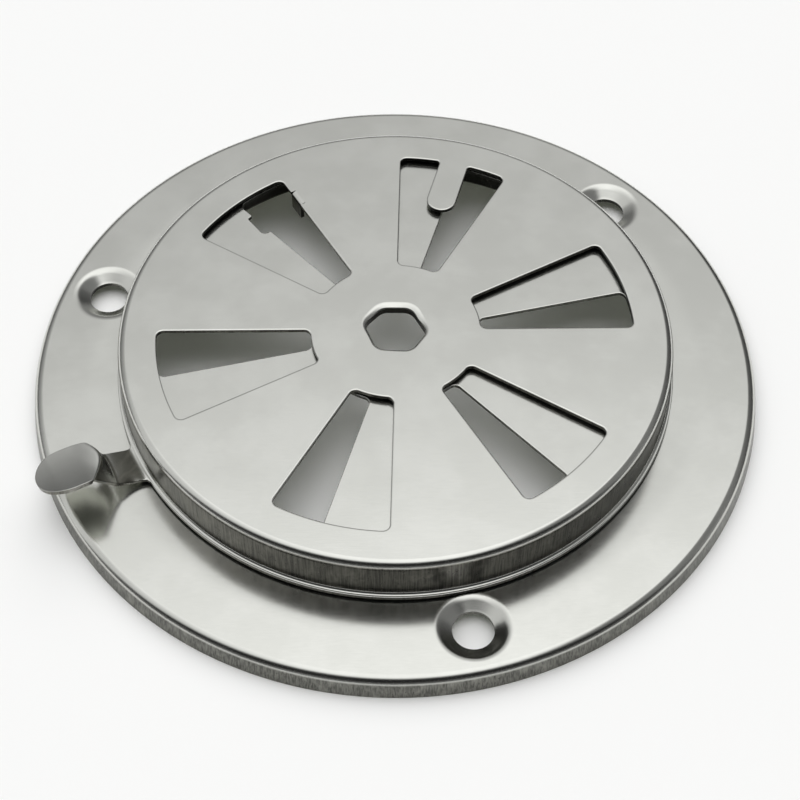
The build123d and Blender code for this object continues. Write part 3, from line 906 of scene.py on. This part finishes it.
def sheet_steel(name, colour, dark, roughness, side_colour):
    """Rolled stainless sheet: satin flat faces, and steep walls in a darker colour, streaked where the press
    has drawn them out.

    Walls that face the axis, inside the pressing, are painted darker still: painted shade for the dim hollow
    under the plate.
    """
    n = Nodes(name)
    split = n.nodes.new("ShaderNodeSeparateXYZ")
    geometry = n.nodes.new("ShaderNodeNewGeometry")
    n.put(geometry.outputs["Normal"], split.inputs[0])
    steep = n.ramp(n.math("ABSOLUTE", split.outputs[2]), 0.25, 0.6, 1, 0)
    outward = n.vector("NORMALIZE", n.vector("MULTIPLY", geometry.outputs["Position"], (1, 1, 0)))
    facing = n.vector("DOT_PRODUCT", outward, geometry.outputs["Normal"])
    # Painted shade: this masks the steep walls that face the axis, inside the pressing, for a near-black
    # colour.
    inner = n.math("MULTIPLY", steep, n.ramp(facing, -0.6, -0.1, 0.9, 0))

    cloud = n.noise((90, 90, 90), 4.0)
    grain = n.noise((500, 6500, 2500), 2.0)
    mottle = n.noise((700, 700, 700), 4.0, 0.6)
    streak = n.noise((4200, 4200, 160), 3.0, 0.6)
    blotch = n.noise((420, 420, 260), 4.0, 0.65, 0.4)
    pits = n.spots((900, 900, 900), 0.06, 0.16)

    face = n.mix(n.ramp(cloud, 0.35, 0.7, 0, 1), tone(dark), tone(colour))
    side = n.mix(n.ramp(streak, 0.35, 0.65, 0, 1), tone(side_colour, 0.45), tone(side_colour))
    side = n.mix(n.ramp(blotch, 0.45, 0.75, 0, 0.5), side, tone(side_colour, 1.8))
    side = n.mix(n.math("MULTIPLY", pits, 0.75), side, tone(PIT_COLOUR))
    # Painted shade: the inner walls take the near-black colour.
    side = n.mix(inner, side, tone(INNER_WALL_PAINTED_SHADE))
    n.put(n.mix(steep, face, side), n.shader.inputs["Base Color"])

    fine = n.math("ADD", n.math("MULTIPLY", n.math("SUBTRACT", grain, 0.5), 0.10),
                  n.math("MULTIPLY", n.math("SUBTRACT", cloud, 0.5), 0.08))
    flat_rough = n.math("ADD", fine, roughness)
    side_rough = n.math("ADD", n.math("MULTIPLY", blotch, 0.2), roughness)
    flat = n.math("SUBTRACT", 1.0, steep)
    rough = n.math("ADD", n.math("MULTIPLY", flat_rough, flat), n.math("MULTIPLY", side_rough, steep))
    n.put(rough, n.shader.inputs["Roughness"])
    n.shader.inputs["Metallic"].default_value = 1.0

    height = n.math("ADD", n.math("MULTIPLY", grain, 0.25), n.math("MULTIPLY", mottle, 0.5))
    height = n.math("MULTIPLY", height, flat)
    rough_side = n.math("ADD", n.math("MULTIPLY", streak, 3.0), n.math("MULTIPLY", blotch, 3.0))
    rough_side = n.math("SUBTRACT", rough_side, n.math("MULTIPLY", pits, 5.0))
    height = n.math("ADD", height, n.math("MULTIPLY", rough_side, steep))
    n.put(n.bump(height, SHEET_BUMP), n.shader.inputs["Normal"])
    return n.material


def plain_steel(name, colour, roughness):
    """Small punched steel parts, with a fine grain and faint clouds."""
    n = Nodes(name)
    cloud = n.noise((600, 600, 600), 4.0)
    fine = n.noise((3500, 3500, 900), 2.0)
    base = n.mix(n.ramp(cloud, 0.35, 0.7, 0, 1), tone(colour, 0.7), tone(colour))
    n.put(base, n.shader.inputs["Base Color"])
    n.put(n.ramp(fine, 0.3, 0.7, roughness - 0.08, roughness + 0.12), n.shader.inputs["Roughness"])
    n.shader.inputs["Metallic"].default_value = 1.0
    n.put(n.bump(fine, WASHER_BUMP), n.shader.inputs["Normal"])
    return n.material


base_steel = sheet_steel(
    "satin_stainless_base", (0.67, 0.675, 0.64), (0.62, 0.625, 0.59), 0.2, (0.20, 0.20, 0.18))
cap_steel = sheet_steel(
    "satin_stainless_cap", (0.68, 0.685, 0.65), (0.63, 0.635, 0.60), 0.2, (0.21, 0.205, 0.18))
washer_steel = plain_steel("washer_steel", (0.55, 0.55, 0.53), 0.3)
spring_steel = plain_steel("spring_steel", (0.38, 0.39, 0.42), 0.32)

base_shell = build_base(base_steel)
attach(base_shell, "base")
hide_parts("base_plate")

cap_shell = build_cap(cap_steel)
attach(cap_shell, "shutter")
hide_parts("shutter_cap")

for node, material in (("spacer_washer", washer_steel), ("spring_washer", spring_steel)):
    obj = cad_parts[node]
    obj.data.materials.clear()
    obj.data.materials.append(material)


# ---- Floor, light and camera ----
FLOOR_HALF = 3.0              # metres
FLOOR_Z = -0.00003            # just clear of the skirt
FLOOR_GREY = (0.93, 0.93, 0.93, 1)
LAMP_ENERGY = 1.62
LAMP_WIDTH = 90               # degrees
LAMP_TILT = -20               # about X: the lamp stands towards +Y
FILL_ENERGY = 0.13
FILL_COLOUR = (0.95, 1.0, 0.8)
LENS = 78.933
SENSOR_WIDTH = 36
CAMERA_PLACE = (0.822, -187.476, 242.925)
CAMERA_UP = (-0.00881, 0.79992, 0.60005)
CAMERA_BACK = (0, -0.60007, 0.79995)


def build_floor():
    mesh = bpy.data.meshes.new("floor")
    corners = [(FLOOR_HALF * x, FLOOR_HALF * y, 0) for x, y in ((-1, -1), (1, -1), (1, 1), (-1, 1))]
    mesh.from_pydata(corners, [], [(0, 1, 2, 3)])
    floor = new_object("floor", mesh)
    material, nodes, _ = new_material("pale_floor")
    nodes["Principled BSDF"].inputs["Base Color"].default_value = FLOOR_GREY
    nodes["Principled BSDF"].inputs["Roughness"].default_value = 0.9
    mesh.materials.append(material)
    floor.location.z = FLOOR_Z
    return floor


def build_studio():
    """A bright panel over the object that dims down to the wall behind it, and a dark place in front."""
    world = bpy.data.worlds.new("studio")
    bpy.context.scene.world = world
    world.use_nodes = True
    nodes, links = world.node_tree.nodes, world.node_tree.links
    where = nodes.new("ShaderNodeTexCoord")
    split = nodes.new("ShaderNodeSeparateXYZ")
    links.new(where.outputs["Generated"], split.inputs[0])
    x, y, z = split.outputs

    def times(a, b):
        return joined(nodes, links, "MULTIPLY", a, b)

    def plus(a, b):
        return joined(nodes, links, "ADD", a, b)

    def ramp(value, low, high, out_low, out_high):
        return smooth_step(nodes, links, value, low, high, out_low, out_high)

    # Tilt is from overhead towards +Y.
    tilt = joined(nodes, links, "ARCTAN2", y, z)
    deg = math.pi / 180
    front = ramp(tilt, -36 * deg, -8 * deg, 0, 1)
    wall = times(ramp(tilt, 26 * deg, 42 * deg, 1.29, 0.62), ramp(tilt, 42 * deg, 74 * deg, 1.0, 0.36))
    spread = times(ramp(x, -0.65, 0.05, 0.58, 1.1), ramp(x, 0.22, 0.46, 1, 0.15))
    above = times(wall, times(spread, front))
    low_front = times(ramp(z, 0.1, 0.5, 0.15, 0.0), ramp(y, -0.1, 0.3, 1, 0))
    dimmest = 0.02
    background = nodes["Background"]
    links.new(plus(plus(above, low_front), dimmest), background.inputs["Strength"])
    background.inputs["Color"].default_value = (1, 1, 1, 1)


def build_camera():
    data = bpy.data.cameras.new("camera")
    data.sensor_width = SENSOR_WIDTH
    data.lens = LENS
    data.clip_start = 0.01
    up, back = Vector(CAMERA_UP), Vector(CAMERA_BACK)
    right = up.cross(back).normalized()
    up = back.cross(right).normalized()
    place = Matrix((right, up, back)).transposed().to_4x4()
    place.translation = Vector(CAMERA_PLACE) * MM
    camera = new_object("camera", data)
    camera.matrix_world = place
    bpy.context.scene.camera = camera


def floor_sun(name, energy, floor_only):
    """A lamp that lights only the floor."""
    lamp = bpy.data.lights.new(name, "SUN")
    lamp.energy = energy
    obj = new_object(name, lamp)
    obj.light_linking.receiver_collection = floor_only
    return obj


def build_floor_lamps(floor):
    """A soft lamp and a faint fill that keep the floor pale all round the object."""
    floor_only = bpy.data.collections.new("floor_only")
    floor_only.objects.link(floor)
    lamp = floor_sun("floor_lamp", LAMP_ENERGY, floor_only)
    lamp.data.angle = math.radians(LAMP_WIDTH)
    lamp.rotation_euler = (math.radians(LAMP_TILT), 0, 0)
    fill = floor_sun("floor_fill", FILL_ENERGY, floor_only)
    fill.data.color = FILL_COLOUR
    fill.data.use_shadow = False


build_floor_lamps(build_floor())
build_studio()
build_camera()
bpy.context.scene.view_settings.view_transform = "Standard"
